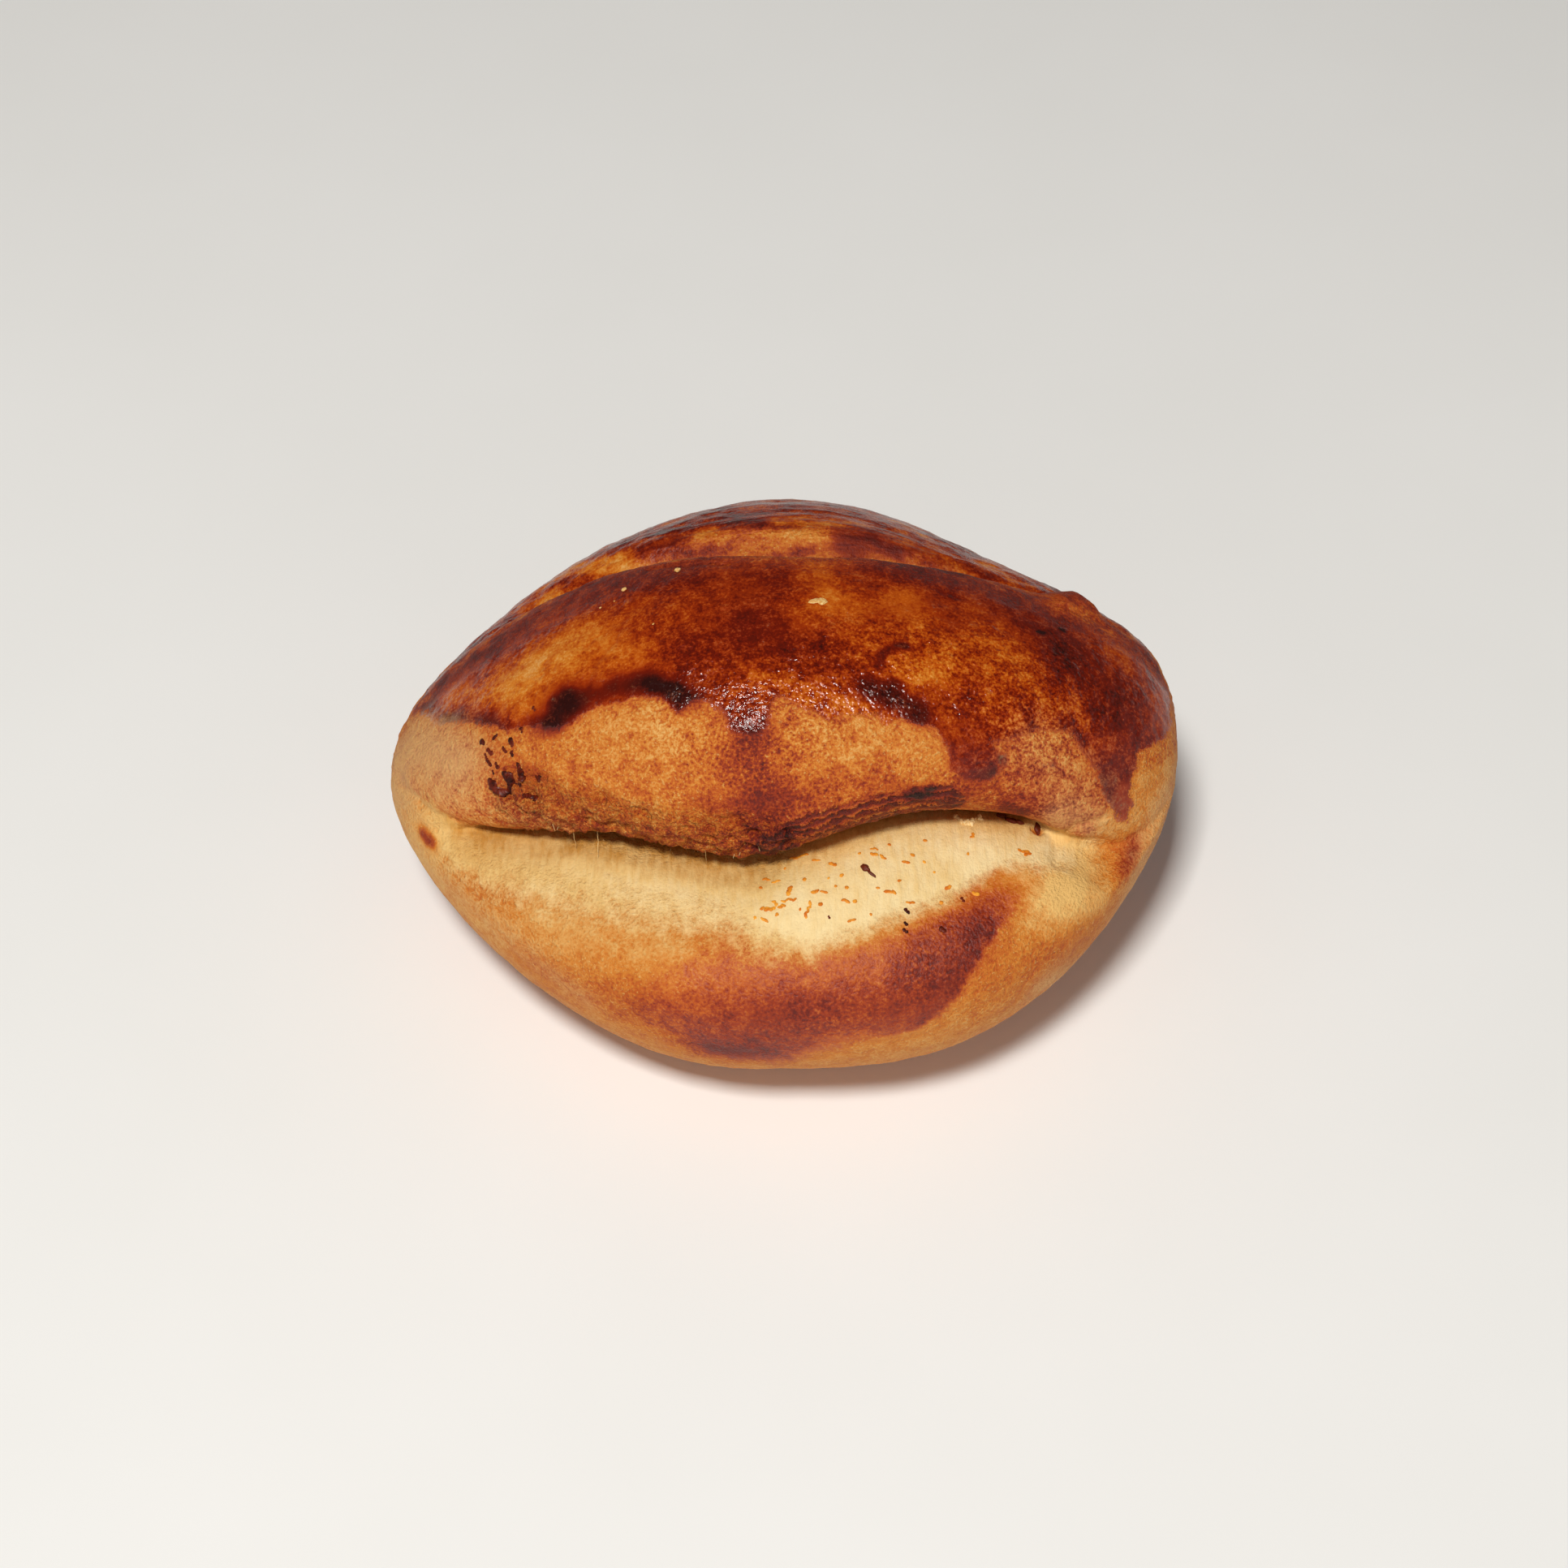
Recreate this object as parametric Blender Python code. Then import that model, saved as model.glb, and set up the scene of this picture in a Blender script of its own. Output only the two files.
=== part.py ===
"""Pogaca: a baked bread roll of one piece, folded over so that it has three lobes.

The roll lies along X with its split mouth towards -Y. A lower lip sticks out in front, an upper lobe
overhangs it across the mouth, and a rear lobe lies behind the fold on top. Metres, +Z up, with the
origin in the middle of the base.

A section is drawn round the line between the two tips. Its angles are degrees above the front, so 0
faces -Y, 90 is the top and 180 the back. A place along the roll is a share of its half length, from
-1 at the left tip to 1 at the right one.
"""

import math

import bmesh
import bpy
import numpy as np
from mathutils import Matrix, Vector, noise

MM = 0.001

# Whole roll
HALF_LENGTH = 55.0 * MM
MIDDLE_LINE = [(-1.0, 22.0), (0.0, 24.5), (0.75, 26.5), (1.0, 29.5)]  # its height, in mm
BASE_CUT = 6.0 * MM  # how much of the round underside the flat base takes away

# Half-sizes of the middle section. left and right say how round a lobe's outline is towards each tip:
# 2 is an ellipse, and less is more pointed
UNDER = 30.0 * MM
UNDER_ROUNDNESS = 2.1
LOWER_LIP = {"depth": 46.5 * MM, "rise": 16.0 * MM, "roundness": 2.5, "left": 1.64, "right": 2.02}
UPPER_LOBE = {"depth": 32.0 * MM, "rise": 33.4 * MM, "roundness": 2.25, "left": 1.66, "right": 1.85}
REAR_LOBE = {"depth": 39.5 * MM, "rise": 31.5 * MM, "roundness": 2.3, "left": 1.57, "right": 1.6}
END_BODY = {"depth": 40.0 * MM, "rise": 31.0 * MM, "roundness": 2.0, "left": 1.72, "right": 2.1}
MIDDLE_SOFTNESS = 0.06  # keeps a pointed outline from creasing at the middle
LOBED = [(-1.0, 0.0), (-0.9, 0.3), (-0.65, 0.95), (0.0, 1.0), (0.6, 1.0), (0.88, 0.45), (1.0, 0.0)]

# The mouth
MOUTH_PATH = [
    (-1.0, 16.0), (-0.76, 23.0), (-0.5, 29.0), (-0.06, 24.0),
    (0.42, 34.5), (0.6, 27.5), (0.75, 12.0), (1.0, 2.0),
]
MOUTH_OPEN = [
    (-1.0, 0.0), (-0.86, 0.12), (-0.68, 1.0), (-0.3, 1.0), (0.0, 0.8),
    (0.4, 1.0), (0.57, 0.9), (0.7, 0.25), (0.8, 0.04), (1.0, 0.0),
]
MOUTH_DEPTH = 9.0 * MM
MOUTH_HALF_WIDTH = 2.0 * MM  # on the lower lip's side
CRUMB_DIP = 4.0 * MM  # how far the lower lip sinks towards the mouth
CRUMB_WIDTH = 9.0 * MM
LIP_TUCK = 4.2 * MM  # how far up the lobe's face its edge curls under
LIP_OVERHANG = 3.4 * MM
LIP_THICKNESS = 4.5 * MM

# The fold on top
FOLD_PATH = [
    (-1.0, 145.0), (-0.8, 137.0), (-0.55, 127.0), (-0.3, 118.5), (0.0, 112.5),
    (0.3, 114.0), (0.57, 121.0), (0.75, 130.0), (1.0, 140.0),
]
FOLD_OPEN = [
    (-1.0, 0.0), (-0.85, 0.1), (-0.6, 0.4), (-0.35, 0.8), (0.1, 1.0),
    (0.4, 1.0), (0.6, 0.6), (0.8, 0.1), (1.0, 0.0),
]
FOLD_DEPTH = 6.5 * MM
FOLD_HALF_WIDTH = 3.0 * MM
FOLD_OVERHANG = 2.2 * MM

# The dough's unevenness: wide lumps all over, crags along the mouth and one small knob
LUMP_HEIGHT = 0.9 * MM
LUMP_SIZE = 22.0 * MM
LUMP_PLACE = Vector((3.1, 7.4, 1.9))
CRAG_HEIGHT = 0.8 * MM
CRAG_SIZE = 5.0 * MM
CRAG_PLACE = Vector((8.6, 2.2, 5.7))
FOLD_CRAG = 0.6  # the crags in the fold, as a share of those along the mouth
KNOB_PLACE = (0.71, 125.0)
KNOB_HEIGHT = 1.9 * MM
KNOB_SIZE = 2.7 * MM

# How softly one lobe runs into the next, in radians, and how far down a section, as the sine of its
# angle below the front, all of them run into the end body
MOUTH_BLEND = 0.035
FOLD_BLEND = 0.14
UNDERSIDE = (0.7, 0.98)

# Mesh
SECTIONS = 54
POINTS_ROUND = 110
FINE_STEPS = 1440
CREASE_REACH = 7.0 * MM  # how far from the mouth and the fold the points still lie closer
CLOSER_AT_MOUTH = 1.6
CLOSER_AT_FOLD = 0.7
SPARSE_UNDERNEATH = 0.45
SPARSE_FROM = (0.45, 0.95)

CRUST_BROWN = (0.45, 0.16, 0.035, 1.0)
CRUST_ROUGHNESS = 0.4


def along(path, share):
    """A smooth value along the roll, through the path's (share, value) points."""
    shares, values = zip(*path)
    slopes = np.gradient(values, shares)
    k = max(1, min(len(path) - 1, int(np.searchsorted(shares, share))))
    width = shares[k] - shares[k - 1]
    t = (share - shares[k - 1]) / width
    start = (2 * t**3 - 3 * t**2 + 1) * values[k - 1] + (t**3 - 2 * t**2 + t) * width * slopes[k - 1]
    end = (3 * t**2 - 2 * t**3) * values[k] + (t**3 - t**2) * width * slopes[k]
    return start + end


def smooth_step(low, high, value):
    t = np.clip((value - low) / (high - low), 0.0, 1.0)
    return t * t * (3.0 - 2.0 * t)


def mix(a, b, share):
    return a + (b - a) * share


def bell(distance, width):
    return np.exp(-((distance / width) ** 2))


def taper(share, lobe):
    """How much a lobe has shrunk towards the tips."""
    point = lobe["left"] if share < 0.0 else lobe["right"]
    soft_end = math.hypot(1.0, MIDDLE_SOFTNESS) - MIDDLE_SOFTNESS
    away = (math.hypot(share, MIDDLE_SOFTNESS) - MIDDLE_SOFTNESS) / soft_end
    return (1.0 - min(away, 1.0) ** point) ** (1.0 / point)


def lobe_radius(lobe, angle, share):
    """Distance from the middle line to a lobe's superellipse, at an angle above the front."""
    above = np.sin(angle) > 0.0
    across = np.abs(np.cos(angle)) / lobe["depth"]
    up = np.abs(np.sin(angle)) / np.where(above, lobe["rise"], UNDER)
    n = np.where(above, lobe["roundness"], UNDER_ROUNDNESS)
    return taper(share, lobe) * (across**n + up**n) ** (-1.0 / n)


def body_radius(angle, share, mouth, fold):
    """The three lobes run together, before the mouth and the fold are sunk into them."""
    lower = lobe_radius(LOWER_LIP, angle, share)
    upper = lobe_radius(UPPER_LOBE, angle, share)
    rear = lobe_radius(REAR_LOBE, angle, share)
    end = lobe_radius(END_BODY, angle, share)
    above_mouth = smooth_step(-MOUTH_BLEND, MOUTH_BLEND, angle - mouth)
    behind_fold = smooth_step(-FOLD_BLEND, FOLD_BLEND, angle - fold)
    lobed = mix(mix(lower, upper, above_mouth), rear, behind_fold)
    underside = smooth_step(*UNDERSIDE, -np.sin(angle))
    return mix(mix(end, lobed, along(LOBED, share)), end, underside)


def section_outline(share):
    """A fine section: its points' closeness, their y and z off the middle line, and how craggy they are."""
    angle = np.radians(np.linspace(-90.0, 270.0, FINE_STEPS + 1))
    mouth = math.radians(along(MOUTH_PATH, share))
    fold = math.radians(along(FOLD_PATH, share))
    mouth_open = along(MOUTH_OPEN, share)
    fold_open = along(FOLD_OPEN, share)
    scale = taper(share, END_BODY)
    radius = body_radius(angle, share, mouth, fold)
    from_mouth = (angle - mouth) * np.interp(mouth, angle, radius)
    from_fold = (angle - fold) * np.interp(fold, angle, radius)

    mouth_width = np.where(from_mouth > 0.0, LIP_TUCK, MOUTH_HALF_WIDTH)
    crumb_width = np.where(from_mouth > 0.0, LIP_TUCK, CRUMB_WIDTH)
    sunk = MOUTH_DEPTH * mouth_open * bell(from_mouth, mouth_width)
    sunk += CRUMB_DIP * mouth_open * bell(from_mouth, crumb_width)
    sunk += FOLD_DEPTH * fold_open * bell(from_fold, FOLD_HALF_WIDTH)
    from_knob = (angle - math.radians(KNOB_PLACE[1])) * radius
    knob = bell((share - KNOB_PLACE[0]) * HALF_LENGTH, KNOB_SIZE) * bell(from_knob, KNOB_SIZE)
    mouth_radius = np.interp(mouth, angle, radius)
    radius = radius - scale * sunk + KNOB_HEIGHT * knob

    lip = bell(from_mouth - LIP_THICKNESS, LIP_THICKNESS)
    ridge = bell(from_fold + 2.0 * FOLD_HALF_WIDTH, 2.0 * FOLD_HALF_WIDTH)
    hang = -LIP_OVERHANG * mouth_open * lip + FOLD_OVERHANG * fold_open * ridge
    turned = angle + hang / max(mouth_radius, MM)
    closeness = 1.0 + CLOSER_AT_MOUTH * bell(from_mouth, CREASE_REACH)
    closeness += CLOSER_AT_FOLD * bell(from_fold, CREASE_REACH)
    closeness *= mix(1.0, SPARSE_UNDERNEATH, smooth_step(*SPARSE_FROM, -np.sin(angle)))
    craggy = mouth_open * bell(from_mouth - LIP_TUCK, CREASE_REACH)
    craggy += FOLD_CRAG * fold_open * bell(from_fold, CREASE_REACH)
    return closeness, -radius * np.cos(turned), radius * np.sin(turned), craggy


def section_at(share):
    """The section as functions of the way round it: that way from 0 to 1, then y, z and cragginess."""
    closeness, y, z, craggy = section_outline(share)
    reach = np.concatenate([[0.0], np.cumsum((closeness[1:] + closeness[:-1]) / 2.0)])
    return reach / reach[-1], (y, z, craggy)


def swell(point, craggy):
    """How far the dough's unevenness moves a point out from the middle line."""
    lump = LUMP_HEIGHT * noise.noise(point / LUMP_SIZE + LUMP_PLACE)
    crag = CRAG_HEIGHT * noise.noise(point / CRAG_SIZE + CRAG_PLACE)
    return lump + crag * craggy


def make_roll():
    """A sphere with its poles at the tips, each of its rings moved to a section of the roll."""
    bm = bmesh.new()
    bmesh.ops.create_uvsphere(bm, u_segments=POINTS_ROUND, v_segments=SECTIONS, radius=1.0)
    sections = {}
    for vertex in bm.verts:
        share = max(-1.0, min(1.0, round(vertex.co.z, 5)))
        if share not in sections:
            sections[share] = section_at(share)
        way, values = sections[share]
        turn = math.atan2(vertex.co.y, vertex.co.x) / (2.0 * math.pi) % 1.0
        y, z, craggy = (np.interp(turn, way, value) for value in values)
        off_line = Vector((0.0, y, z))
        place = Vector((share * HALF_LENGTH, y, z + along(MIDDLE_LINE, share) * MM))
        vertex.co = place + off_line.normalized() * swell(place, craggy)
    bmesh.ops.recalc_face_normals(bm, faces=bm.faces)
    flatten_base(bm)
    centre_on_base(bm)
    mesh = bpy.data.meshes.new("pogaca")
    bm.to_mesh(mesh)
    bm.free()
    return mesh


def flatten_base(bm):
    """Cuts the round underside off level and closes it with one flat face."""
    lowest = min(vertex.co.z for vertex in bm.verts)
    level = lowest + BASE_CUT
    cut = {"plane_co": (0.0, 0.0, level), "plane_no": (0.0, 0.0, -1.0)}
    everything = bm.verts[:] + bm.edges[:] + bm.faces[:]
    bmesh.ops.bisect_plane(bm, geom=everything, dist=0.01 * MM, clear_outer=True, **cut)
    rim = [edge for edge in bm.edges if edge.is_boundary]
    bmesh.ops.contextual_create(bm, geom=rim)
    bmesh.ops.recalc_face_normals(bm, faces=bm.faces)


def centre_on_base(bm):
    """Moves the roll so that the middle of its base's box is at the origin."""
    corners = np.array([vertex.co for vertex in bm.verts])
    middle = (corners.min(axis=0) + corners.max(axis=0)) / 2.0
    shift = Vector((-middle[0], -middle[1], -corners[:, 2].min()))
    bmesh.ops.transform(bm, matrix=Matrix.Translation(shift), verts=bm.verts)


def crust_material():
    material = bpy.data.materials.new("crust")
    material.use_nodes = True
    shader = material.node_tree.nodes["Principled BSDF"]
    shader.inputs["Base Color"].default_value = CRUST_BROWN
    shader.inputs["Roughness"].default_value = CRUST_ROUGHNESS
    shader.inputs["Metallic"].default_value = 0.0
    return material


def main():
    for old in list(bpy.data.objects):
        bpy.data.objects.remove(old)
    collection = bpy.data.collections.new("pogaca")
    bpy.context.scene.collection.children.link(collection)
    mesh = make_roll()
    mesh.shade_smooth()
    roll = bpy.data.objects.new("pogaca", mesh)
    roll.data.materials.append(crust_material())
    collection.objects.link(roll)


main()
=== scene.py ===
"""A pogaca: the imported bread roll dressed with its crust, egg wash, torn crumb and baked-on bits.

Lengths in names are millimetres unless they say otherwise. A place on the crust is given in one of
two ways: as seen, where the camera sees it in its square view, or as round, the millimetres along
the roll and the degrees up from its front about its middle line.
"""

import math
import random

import bmesh
import bpy
import numpy as np
from bpy.props import FloatProperty, FloatVectorProperty, PointerProperty
from mathutils import Matrix, Vector, noise
from mathutils.bvhtree import BVHTree


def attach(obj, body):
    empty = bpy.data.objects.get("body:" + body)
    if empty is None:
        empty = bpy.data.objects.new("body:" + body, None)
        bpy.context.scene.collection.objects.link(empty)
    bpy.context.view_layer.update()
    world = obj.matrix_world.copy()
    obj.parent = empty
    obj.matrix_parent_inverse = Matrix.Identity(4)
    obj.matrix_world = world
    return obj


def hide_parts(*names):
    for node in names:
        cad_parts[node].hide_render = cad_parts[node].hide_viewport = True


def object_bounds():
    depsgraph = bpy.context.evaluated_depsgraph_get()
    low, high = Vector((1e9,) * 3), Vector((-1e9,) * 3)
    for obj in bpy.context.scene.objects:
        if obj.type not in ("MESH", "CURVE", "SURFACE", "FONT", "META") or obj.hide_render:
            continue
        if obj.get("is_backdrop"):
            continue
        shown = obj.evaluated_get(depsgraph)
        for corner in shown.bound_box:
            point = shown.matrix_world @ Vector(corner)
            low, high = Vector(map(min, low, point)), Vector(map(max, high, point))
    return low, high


bl_info = {
    "name": "Pogaca bread roll",
    "version": (1, 0, 0),
    "blender": (4, 5, 0),
    "location": "3D View > Sidebar > Pogaca",
    "description": "Dresses a packed bread roll with crust, egg wash, crumb and baked-on bits",
    "category": "Object",
}

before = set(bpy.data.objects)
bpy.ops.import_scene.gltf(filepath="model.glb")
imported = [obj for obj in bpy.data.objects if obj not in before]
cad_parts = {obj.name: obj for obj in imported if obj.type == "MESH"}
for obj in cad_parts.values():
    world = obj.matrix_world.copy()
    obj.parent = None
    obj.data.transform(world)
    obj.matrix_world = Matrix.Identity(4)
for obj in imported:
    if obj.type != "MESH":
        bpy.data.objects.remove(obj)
CAD_LOW, CAD_HIGH = (np.array(corner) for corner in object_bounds())
MM = 0.001

# The camera, and the square view that places as seen are counted in.
VIEW_ELEVATION = math.radians(50)
VIEW_DISTANCE = 0.45
VIEW_WIDTH = 0.2178
VIEW_SIDE = 1932
VIEW_AIM = Vector((0.0004, -0.0018, 0.0265))
SENSOR_WIDTH = 36.0
KEY_PLACE = Vector((-0.12, -0.4, 0.92))
VIEW_BACK = Vector((0, -math.cos(VIEW_ELEVATION), math.sin(VIEW_ELEVATION)))
VIEW_UP = Vector((0, math.sin(VIEW_ELEVATION), math.cos(VIEW_ELEVATION)))

# The roll's middle line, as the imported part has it.
MIDDLE_ALONG = (-55.0, 0.0, 41.0, 55.0)
MIDDLE_HEIGHT = (21.65, 24.15, 26.15, 29.15)
MIDDLE_BACK = 3.6
# Where its mouth lies: mm along and degrees round.
MOUTH_ALONG = (-52.0, 49.0)
MOUTH_ROUND = (4, 38)
CRUMB_ENDS = (-47, 40.5)

# Where the egg wash ends in front, as seen, from left to right, then round the hidden side.
WASH_FRONT = (
    (512, 880), (540, 895), (556, 889), (590, 893), (630, 902), (668, 893), (690, 900), (717, 880),
    (742, 869), (768, 869), (773, 859), (799, 861), (821, 864), (832, 880), (841, 874), (855, 861),
    (877, 864), (894, 883), (901, 899), (930, 910), (945, 895), (950, 869), (961, 858), (981, 867),
    (1002, 878), (1024, 890), (1037, 881), (1081, 884), (1088, 893), (1104, 887), (1139, 890),
    (1155, 903), (1165, 920), (1170, 945), (1190, 962), (1215, 962), (1232, 950), (1228, 925),
    (1222, 915), (1244, 911), (1284, 898), (1317, 902), (1338, 931), (1352, 950), (1362, 985),
    (1375, 1010), (1390, 1012), (1394, 985), (1396, 950), (1404, 926), (1420, 918), (1436, 908),
)
WASH_BACK = (
    (53.4, 72), (53.8, 110), (50, 140), (44, 157), (33, 166), (20, 169), (6, 173), (-9, 170),
    (-24, 172), (-36, 164), (-46, 152), (-52, 128),
)
CRUMB_FRONT = (
    (497, 985), (507, 1003), (530, 1020), (600, 1060), (700, 1080), (800, 1100), (900, 1120),
    (940, 1150), (1000, 1163), (1040, 1150), (1100, 1125), (1160, 1108), (1195, 1090), (1215, 1074),
    (1226, 1066), (1262, 1063), (1300, 1060), (1322, 1052),
)
LIP_TURN = 2.4  # degrees past the mouth's deepest line at which its crumb ends
# The soft glaze on the lower lip. It fades everywhere but along its right edge.
LOWER_GLAZE = (
    (1226, 1060), (1262, 1062), (1284, 1070), (1270, 1098), (1246, 1130), (1222, 1152), (1209, 1176),
    (1187, 1213), (1160, 1245),
    (1135, 1266), (1050, 1285), (960, 1306), (860, 1290), (800, 1245), (815, 1200), (880, 1165),
    (930, 1160), (985, 1180), (1040, 1160), (1100, 1132), (1160, 1112), (1195, 1090),
)
GLAZE_EDGE = ((1218, 1150), (1209, 1176), (1187, 1213), (1160, 1245), (1137, 1262))
GLAZE_FADE = 4.2
# A fine crack on the upper lobe's left.
CRACK = ((778, 748), (765, 775), (748, 802), (735, 818), (722, 850))

# A stroke is a half width, a strength and the line it follows, as seen.
# Dark and light areas of the wash, and how much deeper or lighter.
WASH_DEEPER = (
    # The first two strokes darken the wash along the upper lobe's top edge by the fold: the wash's own
    # darker colour there, and in part painted shade of the fold.
    (3.6, 0.2, (510, 868), (574, 815), (640, 768), (700, 738), (780, 716), (860, 709), (950, 712)),
    (3.2, 0.1, (604, 818), (645, 792), (688, 768)),
    (4.2, 0.2, (1090, 700), (1180, 717), (1250, 748), (1310, 790), (1370, 850)),
    (6.0, 0.12, (1290, 800), (1350, 850), (1400, 930)),
    (3.4, 0.22, (925, 760), (960, 785), (1000, 800)),
    (3.4, 0.14, (1185, 890), (1192, 925), (1205, 950)),
    (5.0, 0.12, (880, 790), (940, 830), (1000, 840)), (3.4, 0.1, (1335, 895), (1375, 925), (1400, 960)),
    (1.8, 0.25, (620, 895), (560, 885)), (1.6, 0.16, (800, 632), (900, 622), (1000, 622), (1100, 640)),
    (1.0, 0.26, (760, 672), (850, 652), (940, 642)), (1.4, 0.16, (1010, 640), (1100, 655), (1180, 680)),
    (2.0, 0.16, (1180, 770), (1195, 830), (1200, 870)),
)
WASH_LIGHTER = (
    (3.8, 0.66, (625, 850), (655, 820), (700, 800)), (3.4, 0.36, (1100, 832), (1150, 816), (1195, 800)),
    (2.6, 0.3, (560, 862), (600, 850)), (2.6, 0.12, (720, 800), (800, 800)),
    (2.6, 0.34, (940, 835), (1000, 850), (1060, 870)), (2.6, 0.14, (1000, 745), (1100, 735)),
    (3.6, 0.2, (1220, 870), (1270, 850), (1330, 880)), (2.6, 0.1, (1190, 790), (1260, 790)),
    (0.9, 0.5, (690, 708), (760, 695), (850, 688)),
    (1.3, 0.34, (860, 668), (930, 655), (1000, 650), (1060, 645)),
    (1.4, 0.45, (540, 800), (620, 745), (700, 705)), (2.0, 0.5, (930, 672), (980, 672), (1020, 676)),
    (1.0, 0.3, (1100, 640), (1160, 662)), (1.0, 0.2, (1110, 690), (1200, 705)),
)
# Burnt places, and how burnt.
SCORCHED = (
    (2.1, 0.9, (680, 888), (688, 874), (698, 866)),
    (1.7, 0.6, (698, 868), (730, 854), (756, 845), (798, 838), (836, 850), (850, 862)),
    (1.0, 0.4, (798, 842), (832, 852)), (0.7, 0.5, (830, 850), (833, 874)),
    (4.0, 0.18, (870, 850), (905, 876), (930, 892)), (1.6, 0.2, (915, 922), (936, 912), (950, 900)),
    (3.4, 0.14, (915, 935), (925, 960), (930, 985)), (4.0, 0.1, (880, 935), (960, 950)),
    (1.2, 0.34, (854, 985), (876, 995)), (1.2, 0.24, (898, 992), (940, 982), (975, 978)),
    (3.4, 0.1, (1160, 900), (1185, 920), (1195, 950)), (0.7, 0.4, (1226, 952), (1238, 941)),
    (1.2, 0.74, (1124, 981), (1144, 979)), (1.2, 0.26, (1160, 987), (1195, 975), (1215, 960)),
    (1.6, 0.24, (1080, 968), (1100, 965), (1116, 970)), (1.4, 0.44, (598, 884), (608, 889)),
    (1.6, 0.26, (600, 925), (606, 950), (618, 966)), (1.6, 0.2, (622, 920), (632, 945), (646, 972)),
    (1.2, 0.34, (655, 950), (668, 960)), (1.2, 0.2, (652, 895), (662, 890)),
    (1.1, 0.5, (1238, 992), (1262, 1000)), (1.2, 0.4, (550, 886), (566, 893)),
    (1.4, 0.3, (530, 868), (545, 876)), (1.3, 0.5, (1034, 664), (1070, 668), (1104, 680)),
    (0.7, 0.2, (905, 672), (930, 668)), (0.4, 0.26, *CRACK),
    (0.3, 0.2, (765, 775), (752, 780), (742, 792)), (3.0, 0.1, (1228, 760), (1300, 800)),
    (2.4, 0.1, (1210, 800), (1222, 840)), (0.9, 0.3, (1128, 676), (1178, 682)),
    (1.8, 0.36, (1312, 738), (1338, 735)), (1.8, 0.36, (876, 1290), (920, 1298)),
    (1.6, 0.2, (1170, 1210), (1150, 1238), (1136, 1258)),
    (0.7, 0.66, (1081, 820), (1087, 805), (1103, 794), (1120, 795)),
    (0.5, 0.3, (1120, 795), (1139, 804), (1151, 820)),
    (1.5, 0.66, (1066, 846), (1080, 858), (1092, 858)),
    (1.8, 0.66, (1104, 850), (1118, 866), (1132, 880)), (3.0, 0.16, (1000, 840), (1050, 850)),
    (1.4, 0.3, (1150, 846), (1164, 852)), (2.4, 0.22, (1080, 755), (1150, 745), (1172, 770)),
    (0.35, 1.0, (1282, 779), (1285, 780)), (0.4, 0.7, (1305, 773), (1309, 775)),
    (0.5, 0.4, (478, 1028), (484, 1030)), (1.1, 0.9, (524, 1030), (529, 1032)),
    (0.8, 0.35, (1341, 1102), (1346, 1108)), (1.6, 0.22, (1358, 955), (1372, 975), (1384, 1000)),
    (1.1, 0.26, (1390, 1045), (1398, 1062)), (0.4, 0.5, (1236, 930), (1240, 936)),
    (0.4, 0.6, (1296, 938), (1300, 942)), (0.35, 0.5, (1284, 944), (1287, 946)),
)
# Unwashed crust that baked browner, and that stayed paler.
BROWNED = (
    (4.4, 0.13, (640, 990), (740, 1022), (840, 1042), (930, 1048)),
    (2.2, 0.16, (560, 1088), (630, 1096)), (4.4, 0.16, (670, 1195), (730, 1212)),
    (5.0, 0.28, (800, 1240), (890, 1258), (970, 1262)),
    (3.0, 0.3, (860, 1288), (900, 1294), (950, 1296)), (3.4, 0.14, (1000, 1255), (1080, 1256)),
    (3.4, 0.1, (900, 1215), (890, 1180)), (4.0, 0.12, (960, 1215), (1060, 1196), (1120, 1180)),
    (3.6, 0.1, (1040, 1225), (1110, 1222), (1160, 1200)),
    (2.8, 0.14, (1130, 1185), (1165, 1150), (1190, 1130)),
    (1.0, 0.18, (1330, 1062), (1350, 1050), (1400, 1040)), (0.8, 0.3, (1338, 1028), (1352, 1034)),
    (1.5, 0.36, (1366, 1042), (1386, 1054), (1378, 1072)),
    (0.8, 0.34, (1280, 1071), (1302, 1069), (1318, 1068)), (6.0, 0.14, (1240, 1180), (1320, 1160)),
    (5.0, 0.14, (1240, 930), (1300, 955), (1340, 990)), (4.4, 0.2, (920, 905), (925, 960), (940, 1000)),
    (3.4, 0.16, (960, 1000), (1010, 985), (1080, 965)),
    (2.4, 0.16, (1180, 975), (1240, 985), (1290, 1000)),
)
PALER = (
    (2.8, 0.1, (500, 1040), (560, 1062), (640, 1080)),
    (2.4, 0.32, (1300, 1096), (1335, 1088), (1364, 1078)), (2.4, 0.16, (1270, 1130), (1320, 1110)),
    (2.0, 0.1, (1330, 1030), (1370, 1035)), (3.4, 0.08, (1040, 920), (1110, 925)),
    (3.0, 0.08, (740, 905), (830, 900)), (5.0, 0.08, (700, 1130), (800, 1150)),
)
# Crust with a dull floury bloom.
DULL = (
    (4.6, 0.9, (478, 960), (500, 925), (555, 940)),
    (2.6, 0.4, (490, 1030), (560, 1100), (640, 1165), (720, 1230)),
    (5.0, 0.3, (1280, 930), (1330, 985)), (2.4, 0.5, (1300, 1010), (1350, 1020)),
    (2.4, 0.26, (540, 985), (620, 1000), (700, 1020)),
    (3.4, 0.6, (1435, 985), (1410, 1060), (1360, 1150), (1290, 1210)),
)
# The burnt layers along the upper lip, its wrinkled left, and where the wash glints: how wide, the
# shares of that at which it starts and is full, and the line as seen.
BANDS = {
    "layered": (2.3, 1.5, 0.4, (945, 1046), (985, 1028), (1040, 1010), (1105, 995), (1165, 988)),
    "crags": (4.4, 1.4, 0.5, (640, 985), (720, 1010), (800, 1025), (880, 1035), (950, 1040)),
    "sparkle": (
        8.5, 1.4, 0.3, (876, 866), (930, 890), (1000, 846), (1100, 826), (1200, 830), (1290, 866)),
}
LAYER_PITCH = 1.25
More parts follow.
